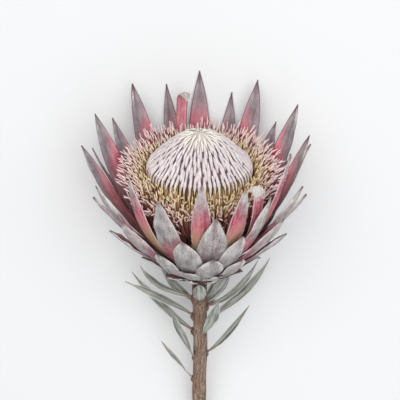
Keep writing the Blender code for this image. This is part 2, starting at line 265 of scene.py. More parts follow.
def ripple(rng, first, second, waves=4):
    """A smooth uneven pattern over two coordinates, from about -1 to 1."""
    total = 0
    for wave in range(1, waves + 1):
        a, b = rng.normal(0, 1.6 * wave, 2)
        total = total + np.sin(first * a + second * b + rng.uniform(0, 2 * math.pi)) / wave
    return total / 1.6


def lay_down(points):
    """Points of the flower's frame in the row's frame, in metres, none below the surface."""
    turn = math.radians(RISE - 90)
    x, y, z = points.T
    ahead = y * math.cos(turn) - z * math.sin(turn)
    up = y * math.sin(turn) + z * math.cos(turn)
    laid = np.stack([x, ahead, up], -1) + HEAD_BASE
    laid[:, 2] = np.maximum(laid[:, 2], 0)
    return laid * MM


# ---- Meshes: a part is its points, faces, values at the points, and material's number


Part = namedtuple("Part", "points faces values slot")


def grid_faces(rows, columns, first=0, closed=False):
    """The quads of a grid of rows and columns of points, closed round its columns or not."""
    wide = columns if closed else columns + 1
    row, column = np.meshgrid(np.arange(rows), np.arange(columns), indexing="ij")
    after = (column + 1) % wide
    corners = (row * wide + column, row * wide + after)
    corners += ((row + 1) * wide + after, (row + 1) * wide + column)
    return np.stack([corner.ravel() for corner in corners], -1) + first


def add_object(name, data):
    """A new object in the scene."""
    made = bpy.data.objects.new(name, data)
    bpy.context.scene.collection.objects.link(made)
    return made


def make_piece(name, node, parts, materials):
    """A piece of the object from its parts, in place of a CAD node."""
    points = lay_down(np.concatenate([part.points for part in parts]))
    mesh = bpy.data.meshes.new(name)
    faces, slots, first = [], [], 0
    for part in parts:
        for group in part.faces:
            faces += (np.asarray(group) + first).tolist()
            slots += [part.slot] * len(group)
        first += len(part.points)
    mesh.from_pydata(points.tolist(), [], faces)
    for key in parts[0].values:
        numbers = np.concatenate([part.values[key] for part in parts]).astype(np.float32)
        kind, field = ("FLOAT_VECTOR", "vector") if numbers.ndim > 1 else ("FLOAT", "value")
        attribute = mesh.attributes.new(key, kind, "POINT")
        attribute.data.foreach_set(field, numbers.ravel())
    for material in materials:
        mesh.materials.append(material)
    mesh.polygons.foreach_set("material_index", slots)
    mesh.polygons.foreach_set("use_smooth", [True] * len(faces))
    mesh.update()
    piece = add_object(name, mesh)
    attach(piece, "root")
    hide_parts(node)


def tube(spine, radii, sides, facing, slot, seed, flute=0.0, **values):
    """A rod of rings along a spine. Each further value is one number a ring, or one in all."""
    spine, radii = np.asarray(spine, float), np.asarray(radii, float)
    ahead = unit(np.gradient(spine, axis=0))
    up = unit(facing - ahead * (ahead @ facing)[:, None])
    right = np.cross(ahead, up)
    turns = 2 * math.pi * np.arange(sides) / sides
    reach = radii[:, None] * (1 + flute * np.cos(FLUTES * turns))
    crest = np.cos(turns) * np.ones((len(spine), 1))
    ring = up[:, None] * np.cos(turns)[:, None] + right[:, None] * np.sin(turns)[:, None]
    points = spine[:, None] + ring * reach[..., None]
    steps = np.linalg.norm(np.diff(spine, axis=0), axis=1)
    along = np.concatenate([[0], np.cumsum(steps)])[:, None] + 0 * crest
    around = turns * radii.mean() + 0 * crest
    held = {"share": along / along.max(), "crest": crest}
    held |= {key: np.reshape(number, (-1, 1)) for key, number in values.items()}
    held = {key: (number + 0 * crest).ravel() for key, number in held.items()}
    held["grain"] = np.stack([around, along, seed + 0 * crest], -1).reshape(-1, 3)
    faces = [grid_faces(len(spine) - 1, sides, closed=True)]
    ends = np.arange(sides)
    faces += [[ends[::-1]], [ends + (len(spine) - 1) * sides]]
    return Part(points.reshape(-1, 3), faces, held, slot)


def hairs(roots, ways, lengths, width, slot, rng, like):
    """Fine hairs, each a sliver that narrows to its end. They hold the values that the part
    like holds, all at 1."""
    count = len(roots)
    ways = unit(ways)
    aside = unit(np.cross(ways, rng.normal(0, 1, (count, 3)))) * width / 2
    bent = rng.normal(0, 0.18, (count, 3)) * lengths[:, None]
    middle = roots + ways * lengths[:, None] * 0.55
    points = np.stack([roots - aside, roots + aside, middle + aside * 0.6, middle - aside * 0.6], 1)
    points = np.concatenate([points, (roots + ways * lengths[:, None] + bent)[:, None]], 1)
    start = np.arange(count)[:, None] * 5
    quads, ends = start + [0, 1, 2, 3], start + [3, 2, 4]
    held = {key: np.ones((count * 5, *each.shape[1:])) for key, each in like.values.items()}
    return Part(points.reshape(-1, 3), [quads, ends], held, slot)


def lathe(profile, sides, slot, rng, like, rough=0.0, **values):
    """A turned surface from its profile of (distance from the axis, height), roughened. It holds
    the values that the part like holds, at 0 or as given."""
    profile = np.asarray(profile, float)
    azimuths = np.arange(sides) * 360 / sides
    radius, height = profile[:, :1], profile[:, 1:]
    uneven = ripple(rng, np.radians(azimuths) * 3, height / 9, 6) * rough * np.minimum(radius, 1)
    points = polar(azimuths, radius + uneven, height + 0 * azimuths).reshape(-1, 3)
    held = {key: np.full(len(points), values.get(key, 0.0)) for key in like.values}
    held["grain"] = points
    return Part(points, [grid_faces(len(profile) - 1, sides, closed=True)], held, slot)


# ---- Blades: bracts, scales and leaves


def flank_radius(height):
    """How wide the receptacle is at a height on its flank."""
    share = (height - FLANK_FOOT[1]) / (FLANK_TOP[1] - FLANK_FOOT[1])
    return mix(FLANK_FOOT[0], FLANK_TOP[0], share)


def curve_point(root, bend, tip, share):
    """The point a share of the way along a quadratic curve."""
    return (1 - share) ** 2 * root + 2 * share * (1 - share) * bend + share**2 * tip


def meridian(blade, share):
    """The blade's middle line: distance from the axis and height."""
    share = share[..., None]
    root, bend, tip = np.array((blade.root, blade.bend, blade.tip), float)
    if not blade.curl:
        return curve_point(root, bend, tip, share)
    along = unit(tip - bend)
    inward = np.array((-along[1], along[0]))
    angle = math.radians(CURL_TURN) * np.maximum(share - CURL_START, 0) / (1 - CURL_START)
    hook = tip + blade.curl * (inward * (1 - np.cos(angle)) + along * np.sin(angle))
    return np.where(share <= CURL_START, curve_point(root, bend, tip, share / CURL_START), hook)


def half_width(blade, share):
    """Half the blade's width, down to a fine point at the tip."""
    rise = mix(blade.base, 1, np.sin(math.pi / 2 * np.minimum(share / blade.widest, 1)))
    fall = 1 - (np.maximum(share - blade.widest, 0) / (1 - blade.widest)) ** blade.blunt
    part = np.where(share < blade.widest, rise, fall)
    point = mix(TIP_WIDTH, 0.3 * TIP_WIDTH, ease(0.9, 1, share))
    return np.maximum(blade.width * part, point) / 2


def blade_surface(blade, share, side):
    """Points of the blade's middle surface: share runs root to tip, side -1 to 1 across it."""
    step = 1e-3
    along = unit(meridian(blade, share + step) - meridian(blade, share - step))
    radius, height = np.moveaxis(meridian(blade, share), -1, 0)
    azimuth = blade.azimuth - blade.lean * (1 - share)
    outward = polar(azimuth, along[..., 1], -along[..., 0])
    across = polar(azimuth + 90, 1, 0)
    turn = (np.radians(blade.twist) * share)[..., None]
    cos, sin = np.cos(turn), np.sin(turn)
    across, outward = across * cos + outward * sin, outward * cos - across * sin
    half = half_width(blade, share)
    arc = half * np.abs(along[..., 1]) / np.maximum(radius, STEM_RADIUS) + blade.cup * share
    arc = np.maximum(arc, 0.02)
    bend = (arc * side)[..., None]
    bow = across * np.sin(bend) - outward * (1 - np.cos(bend))
    return polar(azimuth, radius, height) + bow * (half / arc)[..., None]


def tier_blade(tier_name, azimuth, reach, height, width=0, lean=0, twist=0):
    """A bract of a tier, its root where its CAD solid has it."""
    tier = TIERS[tier_name]
    flank = unit(np.subtract(FLANK_TOP, FLANK_FOOT))
    foot = np.array((flank_radius(tier.flank), tier.flank))
    along = unit(np.array(tier.bend) - foot)
    clearance = GAP + BRACT_THICKNESS / 2 * along.dot(flank)
    if tier_name in FUSED_TIERS:
        clearance = -SCALE_SINK
    root = foot + np.array((flank[1], -flank[0])) * clearance
    shape = (width or tier.width, tier.base, tier.widest, tier.blunt, tier.cup)
    return Blade(azimuth, root, tier.bend, (reach, height), *shape, lean, twist)


def sheet(blade, thickness, grid, rng, relief):
    """Both faces of a blade: outward and inward points, outward normals, and each point's
    share, side, half width and length from the root. relief gives its height."""
    rows, columns = grid
    steps = np.linspace(0, 1, rows + 1), np.linspace(-1, 1, columns + 1)
    share, side = np.meshgrid(*steps, indexing="ij")
    side = np.sign(side) * np.abs(side) ** 0.85
    middle = blade_surface(blade, share, side)
    normal = unit(np.cross(np.gradient(middle, axis=1), np.gradient(middle, axis=0)))
    half = half_width(blade, share)
    middle = middle + normal * relief(share, side, half, rng)[..., None]
    normal = unit(np.cross(np.gradient(middle, axis=1), np.gradient(middle, axis=0)))
    thick = thickness * (1 - 0.72 * np.abs(side) ** 3) * mix(1, 0.45, ease(0.85, 1, share))
    steps = np.linalg.norm(np.diff(middle[:, columns // 2], axis=0), axis=1)
    length = np.concatenate([[0], np.cumsum(steps)])[:, None] + 0 * share
    outer, inner = (middle + normal * (thick * way / 2)[..., None] for way in (1, -1))
    return outer, inner, normal, share, side, half, length


def sheet_faces(rows, columns):
    """The faces of a sheet's outer and inner grids, and of the rim that joins them."""
    per_face = (rows + 1) * (columns + 1)
    outer = grid_faces(rows, columns)
    inner = grid_faces(rows, columns, per_face)[:, ::-1]
    index = np.arange(per_face).reshape(rows + 1, columns + 1)
    loop = np.concatenate([index[0], index[1:, -1], index[-1, -2::-1], index[-2:0:-1, 0]])
    after = np.roll(loop, -1)
    rim = np.stack([after, loop, loop + per_face, after + per_face], -1)
    return [outer, inner, rim]


def bract_relief(share, side, half, rng):
    """A bract's keel, folds and uneven margins."""
    keel = 0.55 * ease(0.35, 0.95, share) * np.exp(-((side / 0.16) ** 2))
    folds = 0.36 * ripple(rng, share * 5, side * 2.6)
    waves = 0.55 * side**2 * ease(0.3, 0.9, share) * ripple(rng, share * 9, side)
    return keel + (folds + waves) * ease(0, 0.25, share)


def leaf_relief(share, side, half, rng):
    """A leaf's midrib and soft waves."""
    midrib = 0.30 * np.exp(-((side * half / 0.45) ** 2)) * mix(1, 0.4, share)
    waves = 0.45 * side * ripple(rng, share * 6, side * 0.6)
    return midrib + waves * ease(0, 0.3, share)


def blade_part(blade, thickness, grid, rng, relief, looks):
    """A blade, and its outward face's points and normals. looks gives its material's values by
    name, from the share, the side and whether the face is the inward one."""
    outer, inner, normal, share, side, half, length = sheet(blade, thickness, grid, rng, relief)
    seed = rng.uniform(0, 200)
    faces = []
    for inside in (0.0, 1.0):
        grain = np.stack([side * half, length, seed + 40 * inside + 0 * share], -1)
        held = {"share": share, "edge": (1 - np.abs(side)) * half, "inside": inside}
        held |= looks(share, side, inside)
        flat = {key: (numbers + 0 * share).ravel() for key, numbers in held.items()}
        faces.append({"grain": grain.reshape(-1, 3), **flat})
    values = {key: np.concatenate([face[key] for face in faces]) for key in faces[0]}
    points = np.concatenate([outer.reshape(-1, 3), inner.reshape(-1, 3)])
    return Part(points, sheet_faces(*grid), values, 0), (outer, normal)


def margin_hairs(part, face, count, rng, slot):
    """Silky hairs that stand out from a blade's margins, towards its tip. The face is its
    outward one."""
    outer, normal = face
    rows = rng.uniform(0.12, 0.985, count) * (len(outer) - 1)
    low = rows.astype(int)
    edge = rng.choice([0, outer.shape[1] - 1], count)
    within = (rows - low)[:, None]
    roots = mix(outer[low, edge], outer[low + 1, edge], within)
    tipward = unit(outer[low + 1, edge] - outer[low, edge])
    outward = unit(outer[low, edge] - outer[low, outer.shape[1] // 2])
    ways = tipward * 0.9 + outward * 0.65 + normal[low, edge] * rng.normal(0, 0.35, (count, 1))
    lengths = rng.uniform(0.7, 1.9, count)
    return hairs(roots, ways, lengths, 0.09, slot, rng, part)


# ---- Materials


def colour(red, green, blue):
    """A colour given in screen values up to 255, as linear light."""
    parts = (np.array((red, green, blue)) / 255 + 0.055) / 1.055
    return (*(float(part) ** 2.4 for part in parts), 1.0)


class Recipe:
    """A material's nodes, wired in few words. Its methods take and give sockets or numbers, and
    a colour is a socket or its three screen values."""

    def __init__(self, name):
        self.material = bpy.data.materials.new(name)
        self.material.use_nodes = True
        self.tree = self.material.node_tree
        self.shader = self.tree.nodes["Principled BSDF"]

    def put(self, socket, value):
        if isinstance(value, bpy.types.NodeSocket):
            self.tree.links.new(value, socket)
        else:
            socket.default_value = value

    def node(self, kind, inputs, **settings):
        made = self.tree.nodes.new(kind)
        for key, value in settings.items():
            setattr(made, key, value)
        for key, value in inputs.items():
            self.put(made.inputs[key], value)
        return made

    def value(self, name):
        """A number held at the mesh's points."""
        return self.node("ShaderNodeAttribute", {}, attribute_name=name).outputs["Fac"]

    def noise(self, vector, detail, roughness=0.55):
        inputs = {"Vector": vector, "Scale": 1.0, "Detail": detail, "Roughness": roughness}
        return self.node("ShaderNodeTexNoise", inputs).outputs["Fac"]

    def grain(self, across, along, detail, roughness=0.55, deep=1.0):
        """Noise over the piece's own coordinates, in millimetres times the scale of each axis."""
        place = self.node("ShaderNodeAttribute", {}, attribute_name="grain").outputs["Vector"]
        inputs = {0: place, 1: (across, along, deep)}
        stretched = self.node("ShaderNodeVectorMath", inputs, operation="MULTIPLY").outputs[0]
        return self.noise(stretched, detail, roughness)

    def math(self, operation, first, second):
        inputs = {0: first, 1: second}
        return self.node("ShaderNodeMath", inputs, operation=operation).outputs[0]

    def times(self, first, second):
        return self.math("MULTIPLY", first, second)

    def sum(self, *terms):
        total = terms[0]
        for term in terms[1:]:
            total = self.math("ADD", total, term)
        return total

    def scaled(self, value, low, high):
        """A value from 0 to 1 spread from low to high, with no limit."""
        return self.math("ADD", self.times(value, high - low), low)

    def ease(self, low, high, value):
        """As ease() does for numbers."""
        inputs = {"Value": value, "From Min": low, "From Max": high}
        made = self.node("ShaderNodeMapRange", inputs, interpolation_type="SMOOTHSTEP")
        return made.outputs["Result"]

    def fade(self, low, high, value):
        """1 up to low, and 0 from high on."""
        return self.math("SUBTRACT", 1.0, self.ease(low, high, value))

    def blend(self, share, first, second):
        """One colour into another."""
        made = self.node("ShaderNodeMix", {}, data_type="RGBA")
        self.put(made.inputs["Factor"], share)
        for number, paint in ((6, first), (7, second)):
            self.put(made.inputs[number], colour(*paint) if isinstance(paint, tuple) else paint)
        return made.outputs[2]

    def over(self, base, share, amount, paint):
        """A base with a colour laid over it, as thick as a share times an amount."""
        return self.blend(self.times(share, amount), base, paint)

    def finish(self, base, roughness, height=None, depth=0.0, sheen=0.0, specular=0.3):
        """Wires the shader. The height from 0 to 1 is a relief as deep as depth, in millimetres."""
        settings = {"Base Color": base, "Roughness": roughness, "Specular IOR Level": specular}
        settings |= {"Sheen Weight": sheen, "Sheen Roughness": 0.45}
        for key, value in settings.items():
            self.put(self.shader.inputs[key], value)
        if height is not None:
            inputs = {"Strength": 1.0, "Distance": depth * MM, "Height": height}
            bump = self.node("ShaderNodeBump", inputs)
            self.put(self.shader.inputs["Normal"], bump.outputs["Normal"])
        return self.material


def bract_material():
    """Silky silver down over rose and crimson skin, with fine veins and thin margins, painted shade
    towards the root and a painted highlight along the margins.
    """
    r = Recipe("Bract")
    share, edge, inside = r.value("share"), r.value("edge"), r.value("inside")
    veins = r.ease(0.36, 0.64, r.grain(1.1, 0.06, 4.0, 0.6))
    fibres = r.ease(0.34, 0.66, r.grain(4.0, 0.7, 3.0, 0.6))
    clouds = r.ease(0.32, 0.68, r.grain(0.17, 0.10, 2.0))
    mottle = r.ease(0.34, 0.66, r.grain(1.3, 0.75, 4.0, 0.65))
    # The tone of the silver and rose: real veins and mottling, with painted shade towards the root
    # and a painted highlight along the margins
    shade = r.sum(
        r.times(veins, 0.15),
        r.times(mottle, 0.17),
        r.times(fibres, 0.14),
        r.times(clouds, 0.28),
        # Painted shade: darker towards the root
        r.scaled(r.ease(0.35, 0.9, share), -0.14, 0.10),
        # Painted highlight: paler along the margins
        r.scaled(r.ease(0.3, 4.5, edge), 0.20, 0.0),
    )
    depth = r.sum(
        r.value("blush"),
        r.scaled(clouds, -0.25, 0.25),
        r.scaled(veins, -0.22, 0.22),
        r.scaled(mottle, -0.12, 0.12),
    )
    skin = r.blend(r.ease(0.0, 0.65, depth), (100, 36, 50), (162, 68, 88))
    skin = r.blend(r.ease(0.55, 1.25, depth), skin, (206, 124, 134))
    rose = r.blend(shade, (178, 88, 106), (238, 178, 186))
    skin = r.over(skin, inside, 0.85, rose)
    skin = r.over(skin, r.ease(0.1, 0.7, r.value("flush")), 0.9, (190, 34, 84))
    skin = r.over(skin, r.value("ochre"), r.scaled(mottle, 0.8, 1.1), (178, 152, 102))
    down = r.sum(
        r.value("silver"),
        r.scaled(clouds, -0.10, 0.10),
        r.scaled(mottle, -0.09, 0.09),
        r.scaled(fibres, -0.09, 0.09),
        r.scaled(veins, -0.08, 0.08),
    )
    pale = r.blend(shade, (78, 68, 72), (228, 224, 221))
    tinged = r.blend(shade, (112, 72, 80), (206, 170, 174))
    pale = r.blend(r.ease(0.45, 1.25, down), tinged, pale)
    mauve = r.blend(shade, (80, 68, 74), (180, 168, 172))
    base = r.blend(r.ease(0.0, 0.95, down), skin, r.blend(inside, pale, mauve))
    base = r.blend(r.ease(1.6, 2.4, down), base, (246, 242, 240))
    # Dark maroon towards each bract's root, strongest on the lower tiers: partly the bracts' real
    # colour, partly painted shade where they overlap
    base = r.over(base, r.fade(0.15, 0.62, share), r.value("dusk"), (84, 30, 42))
    rim = r.blend(inside, (230, 222, 220), (92, 38, 52))
    base = r.over(base, r.fade(0.1, 0.8, edge), 0.75, rim)
    base = r.over(base, r.ease(0.93, 1.0, share), 0.8, (96, 68, 74))
    height = r.sum(veins, r.times(fibres, 0.35), r.times(mottle, 0.6))
    return r.finish(base, r.scaled(fibres, 0.6, 0.9), height, 0.16, sheen=0.1)


def leaf_material():
    """Sage green with a grey bloom, paler margins and midrib, and netted veins."""
    r = Recipe("Leaf")
    edge, share = r.value("edge"), r.value("share")
    veins = r.grain(1.5, 0.22, 3.0, 0.6)
    clouds = r.grain(0.55, 0.05, 2.0)
    speckle = r.grain(5.5, 3.5, 2.0, 0.7)
    base = r.blend(r.ease(0.35, 0.65, clouds), (84, 90, 82), (172, 176, 170))
    base = r.over(base, r.ease(0.45, 0.75, veins), 0.55, (86, 90, 82))
    base = r.over(base, r.ease(0.48, 0.7, speckle), 0.55, (190, 192, 187))
    base = r.over(base, r.value("midrib"), 0.75, (192, 190, 178))
    base = r.over(base, r.fade(0.05, 0.55, edge), 0.9, (226, 216, 208))
    base = r.over(base, r.ease(0.9, 1.0, share), 0.8, (122, 92, 84))
    base = r.blend(r.value("foot"), base, (150, 104, 96))
    height = r.sum(veins, r.times(speckle, 0.4))
    return r.finish(base, r.scaled(speckle, 0.5, 0.8), height, 0.35, sheen=0.08)


def down_material():
    """Fine white hair."""
    r = Recipe("Down")
    shade = r.grain(0.8, 0.8, 1.0, deep=0.8)
    base = r.blend(shade, (226, 218, 214), (250, 247, 244))
    return r.finish(base, 0.8, sheen=0.2)


def bark_material():
    """Grey-brown bark in long fibres, with pale scuffs, warm cracks and dark leaf scars. It is
    darkened as painted shade at the stem's top and over the receptacle, under the head.
    """
    r = Recipe("Bark")
    fibres = r.grain(1.5, 0.09, 5.0, 0.7)
    flakes = r.grain(1.3, 0.5, 4.0, 0.7)
    clouds = r.grain(0.12, 0.05, 2.0)
    base = r.blend(r.ease(0.38, 0.6, fibres), (64, 50, 43), (172, 148, 130))
    base = r.over(base, r.ease(0.52, 0.62, flakes), 0.75, (188, 170, 154))
    base = r.over(base, r.ease(0.45, 0.65, clouds), 0.55, (118, 84, 66))
    base = r.blend(r.ease(0.58, 0.68, fibres), base, (172, 142, 114))
    # Darker at the real leaf scars, knobs and buds, and as painted shade at the stem's top and on
    # the receptacle
    base = r.blend(r.value("dark"), base, (64, 44, 40))
    height = r.sum(fibres, r.times(flakes, 0.7))
    return r.finish(base, r.scaled(flakes, 0.65, 0.95), height, 1.0, specular=0.2)


def pith_material():
    """The cut end of the stem: pale fibrous wood."""
    r = Recipe("Cut wood")
    fibres = r.grain(1.6, 1.6, 4.0, 0.7, deep=0.4)
    base = r.blend(r.ease(0.3, 0.7, fibres), (150, 120, 88), (204, 182, 146))
    base = r.blend(r.value("dark"), base, (96, 70, 54))
    return r.finish(base, 0.85, fibres, 0.4, specular=0.15)


def style_material():
    """The closed florets' styles: pinkish white crests, flanks darkened to mauve as painted shade
    between the styles, and a tan hem.
    """
    r = Recipe("Style")
    share, crest = r.value("share"), r.value("crest")
    streaks = r.grain(2.0, 0.25, 3.0, 0.6)
    speckle = r.grain(4.0, 3.0, 2.0)
    base = r.blend(r.ease(0.3, 0.7, streaks), (196, 182, 184), (240, 232, 232))
    base = r.blend(r.ease(0.3, 1.0, r.value("ripe")), base, (238, 232, 222))
    # Painted shade: each style is darkened to mauve on its flanks and underside, the sides turned
    # from the dome's outward face; the hem's tan also lies on these sides
    flank = r.fade(-0.35, 0.55, crest)
    base = r.over(base, flank, 0.9, (118, 92, 102))
    hem = r.blend(flank, (242, 234, 228), (190, 164, 140))
    base = r.over(base, r.times(r.fade(0.05, 0.4, share), r.value("gold")), 0.85, hem)
    height = r.sum(streaks, r.times(speckle, 0.5))
    return r.finish(base, r.scaled(speckle, 0.6, 0.85), height, 0.25, sheen=0.1)


def floret_material():
    """The open florets' styles, ochre by the dome and rose beyond, and their pale woolly tips."""
    r = Recipe("Floret")
    share, ripe, tone = r.value("share"), r.value("ripe"), r.value("tone")
    streaks = r.grain(2.5, 0.4, 3.0, 0.6)
    speckle = r.grain(5.0, 4.0, 2.0)
    tan = r.blend(tone, (142, 84, 54), (252, 208, 156))
    gold = r.blend(tone, (156, 122, 64), (246, 214, 156))
    gold = r.blend(r.ease(0.62, 0.95, share), tan, gold)
    rose = r.blend(tone, (100, 32, 44), (190, 100, 98))
    base = r.blend(r.ease(0.25, 0.7, ripe), gold, rose)
    base = r.over(base, r.ease(0.5, 0.7, streaks), 0.5, (116, 66, 44))
    base = r.over(base, r.fade(0.05, 0.45, share), 0.6, (112, 60, 46))
    limb = r.ease(0.3, 0.8, r.sum(r.value("gold"), r.scaled(speckle, -0.1, 0.1)))
    wool = r.blend(r.ease(0.0, 0.35, ripe), (240, 220, 168), (252, 236, 206))
    wool = r.blend(r.ease(0.35, 0.8, ripe), wool, (242, 220, 218))
    wool = r.over(wool, r.ease(0.45, 0.65, streaks), 0.4, (200, 140, 134))
    height = r.sum(streaks, speckle)
    base = r.blend(limb, base, wool)
    return r.finish(base, r.scaled(speckle, 0.55, 0.85), height, 0.2, sheen=0.1)


def shade_material():
    """The mass of stalks that the open florets stand in, coloured as stalks darkened by painted
    shade.
    """
    r = Recipe("Stalk mass")
    fibres = r.grain(0.9, 0.9, 4.0, 0.6, deep=0.06)
    base = r.blend(r.ease(0.35, 0.65, fibres), (92, 44, 42), (184, 128, 88))
    return r.finish(base, r.scaled(fibres, 0.7, 0.95), fibres, 1.0, specular=0.1)


def core_material():
    """What shows between the closed florets: dark mauve as painted shade in the gaps, gold below
    the dome's rim and cream at its top.
    """
    r = Recipe("Floret bed")
    fibres = r.grain(0.9, 0.9, 3.0, 0.6, deep=0.9)
    base = r.blend(r.ease(0.35, 0.65, fibres), (88, 66, 74), (136, 110, 118))
    base = r.blend(r.value("gold"), base, (120, 96, 52))
    base = r.blend(r.value("ripe"), base, (222, 212, 200))
    return r.finish(base, 0.9, fibres, 0.5, specular=0.1)


def floor_material():
    """A plain matt white surface, faintly uneven."""
    r = Recipe("Floor")
    place = r.node("ShaderNodeTexCoord", {}).outputs["Object"]
    base = r.blend(r.noise(place, 2.0), (219, 220, 221), (222, 223, 224))
    return r.finish(base, 0.9, specular=0.1)


# ---- The flower's pieces


def dressed(tier_name, azimuth):
    """A bract's looks. One at the head's side is more silver towards the back on its outward
    face, and towards the front on its inward one, whose flush is towards the back."""
    dress = DRESSES[tier_name]
    turned = math.copysign(1, azimuth) * ease(4, 30, abs(azimuth))
    turn = math.radians(azimuth)
    sideways, frontness = math.sin(turn), 0.5 + 0.5 * math.cos(turn)
    reddest = mix(0.35, 1.0, ease(80, 108, abs(azimuth)))

    def looks(share, side, inside):
        ochre = (1 - ease(0.65, 1.1, share / dress.ochre)) * frontness if dress.ochre else 0.0
        if inside:
            slant = 0.4 * abs(sideways) - 0.85 * side * sideways
            silver = 1.7 * ease(0.58, 1.0, share) - 0.5 + slant
            blush = 1.0 - 0.45 * share
            ochre = 0.25 * ochre
        else:
            rise = mix(dress.low, dress.high, ease(dress.start, dress.end, share))
            edges = mix(-0.45, 0.25, ease(0.3, 0.9, share)) * side**2
            silver = rise + 0.45 * side * turned + edges
            blush = dress.blush * (0.65 + 0.5 * np.sin(math.pi * share))
        backward = side * np.sign(sideways) if abs(sideways) > 0.35 else abs(side)
        middle = ease(0.15, 0.4, share) * (1 - ease(0.6, 0.85, share))
        flush = inside * reddest * middle * ease(-0.05, 0.8, backward)
        values = {"silver": silver, "blush": blush, "ochre": ochre, "flush": flush}
        return {**values, "dusk": dress.dusk}

    return looks


def make_bracts(bract, down):
    """The bracts of the four upper tiers, and the two curled ones of the inner tier."""
    rows = [(tier_name, row) for tier_name in LOOSE_TIERS for row in BRACTS[tier_name]]
    for number, (tier_name, row) in enumerate(rows, 1):
        rng = np.random.default_rng(number)
        blade = tier_blade(tier_name, *row)
        looks = dressed(tier_name, blade.azimuth)
        part, face = blade_part(blade, BRACT_THICKNESS, BRACT_GRID, rng, bract_relief, looks)
        parts = [part, margin_hairs(part, face, MARGIN_HAIRS, rng, 1)]
        name, node = f"{tier_name}_bract_{number:02d}", f"bract_{number:02d}_{tier_name}"
        make_piece(name, node, parts, [bract, down])
    for number, row in enumerate(CURLED_BRACTS, len(rows) + 1):
        make_curled_bract(number, *row, bract, down)


def make_curled_bract(number, azimuth, hook, width, lean, bract, down):
    """An inner bract whose tip curls over the florets under a hood of white wool."""
    rng = np.random.default_rng(number)
    blade = tier_blade("inner", azimuth, *hook, width, lean)
    blade = blade._replace(curl=HOOK_RADIUS, blunt=4, widest=0.6)
    hood = BACK_HOOD if abs(azimuth) > 90 else FRONT_HOOD

    def looks(share, side, inside):
        silver = ease(hood, hood + 0.05, share) * 3.4 - 0.4
        return {"silver": silver, "blush": 1.0, "ochre": 0.0, "flush": 0.2 * side**2, "dusk": 0.0}

    part, face = blade_part(blade, BRACT_THICKNESS, CURLED_GRID, rng, bract_relief, looks)
    outer, normal = face
    row = (rng.uniform(hood, 1.0, HOOD_HAIRS) * (len(outer) - 2)).astype(int)
    column = rng.integers(0, outer.shape[1], HOOD_HAIRS)
    tipward = unit(outer[row + 1, column] - outer[row, column])
    ways = tipward + normal[row, column] * 0.45 + rng.normal(0, 0.3, (HOOD_HAIRS, 3))
    lengths = rng.uniform(1.0, 2.4, HOOD_HAIRS)
    wool = hairs(outer[row, column], ways, lengths, 0.2, 1, rng, part)
    parts = [part, wool, margin_hairs(part, face, MARGIN_HAIRS, rng, 1)]
    name, node = f"curled_bract_{number:02d}", f"bract_{number:02d}_curled"
    make_piece(name, node, parts, [bract, down])


def make_receptacle(bract, bark, down):
    """The woody receptacle, with the small bracts below the others grown on it."""
    rng = np.random.default_rng(RECEPTACLE_SEED)
    parts = []
    for tier_name in FUSED_TIERS:
        for row in BRACTS[tier_name]:
            blade = tier_blade(tier_name, *row)
            looks = dressed(tier_name, blade.azimuth)
            part, face = blade_part(blade, SCALE_THICKNESS, SCALE_GRID, rng, bract_relief, looks)
            part.values["dark"] = np.zeros(len(part.points))
            parts += [part, margin_hairs(part, face, MARGIN_HAIRS // 2, rng, 2)]
    flank = mix(np.array(FLANK_FOOT), np.array(FLANK_TOP), np.linspace(0, 1, 26)[:, None])
    profile = [(0, 0), (3, 0), (5.2, 0), *flank, (25.0, RECEPTACLE_TOP), (0, RECEPTACLE_TOP)]
    # Its bark is darkened as painted shade under the head
    parts.append(lathe(profile, TURNED_SIDES, 1, rng, parts[0], rough=0.25, dark=0.75))
    make_piece("receptacle_with_scales", "receptacle", parts, [bract, bark, down])


def dome_point(azimuth, angle, lift):
    """Points over the dome: the angle is 0 at the rim and 90 at the top."""
    turn = np.radians(angle)
    above = np.sign(turn) * np.abs(np.sin(turn)) ** np.where(turn > 0, DOME_POINT, 1.0)
    across = (DOME_RADIUS + lift) * np.cos(turn)
    return polar(azimuth, across, DOME_CENTRE + (DOME_RISE + lift) * above)


def long_style(index, rng):
    """One of the outermost styles: it hangs over the dome's rim in a point and runs up the dome."""
    azimuth = (index + rng.normal(0, 0.10)) * 360 / LONG_STYLES
    upper = index % 2
    top = mix(40, 31, upper) + rng.normal(0, 1.6)
    low = mix(93.6, 96.2, upper) + rng.normal(0, 0.8)
    hem = [(37.4 + rng.normal(0, 0.3), low), (37.3, low + 2.2), (36.7, 100.5)]
    angles = np.linspace(4, top, 12)
    sway = rng.normal(0, 0.5) * np.sin(np.linspace(0, math.pi, 15))
    spine = [polar(azimuth + sway[step], *point) for step, point in enumerate(hem)]
    spine += list(dome_point(azimuth + sway[3:], angles, 1.0 + rng.normal(0, 0.15)))
    along = np.linspace(0, 1, len(spine))
    swell = mix(0.22, 1.0, ease(0, 0.28, along)) * mix(1.0, 0.62, ease(0.35, 0.95, along))
    swell[-1] *= 0.4
    radii = STYLE_RADIUS * swell * rng.uniform(0.9, 1.1)
    return azimuth, np.array(spine), radii, np.concatenate([np.zeros(3), angles])


def short_style(index, rng):
    """One of the styles further up, which comes out from under the tips of those below it."""
    place = (index + 0.5) / SHORT_STYLES
    azimuth = index * GOLDEN_ANGLE + rng.normal(0, 0.8)
    tip = math.degrees(math.acos(min(0.80 * place**0.54, 1))) + rng.normal(0, 0.6)
    angles = np.linspace(tip - mix(16, 25, place), tip, 11)
    along = np.linspace(0, 1, 11)
    lifts = mix(-1.6, 0.85, ease(0, 0.62, along)) + rng.normal(0, 0.15)
    sway = rng.normal(0, 0.7) * np.sin(math.pi * along)
    spine = dome_point(azimuth + sway, angles, lifts)
    swell = mix(0.6, 1.0, ease(0, 0.4, along)) * mix(1.0, 0.60, ease(0.55, 1.0, along))
    swell[-1] *= 0.5
    radii = mix(1.0, STYLE_RADIUS, place) * swell * rng.uniform(0.9, 1.1)
    return azimuth, spine, radii, angles


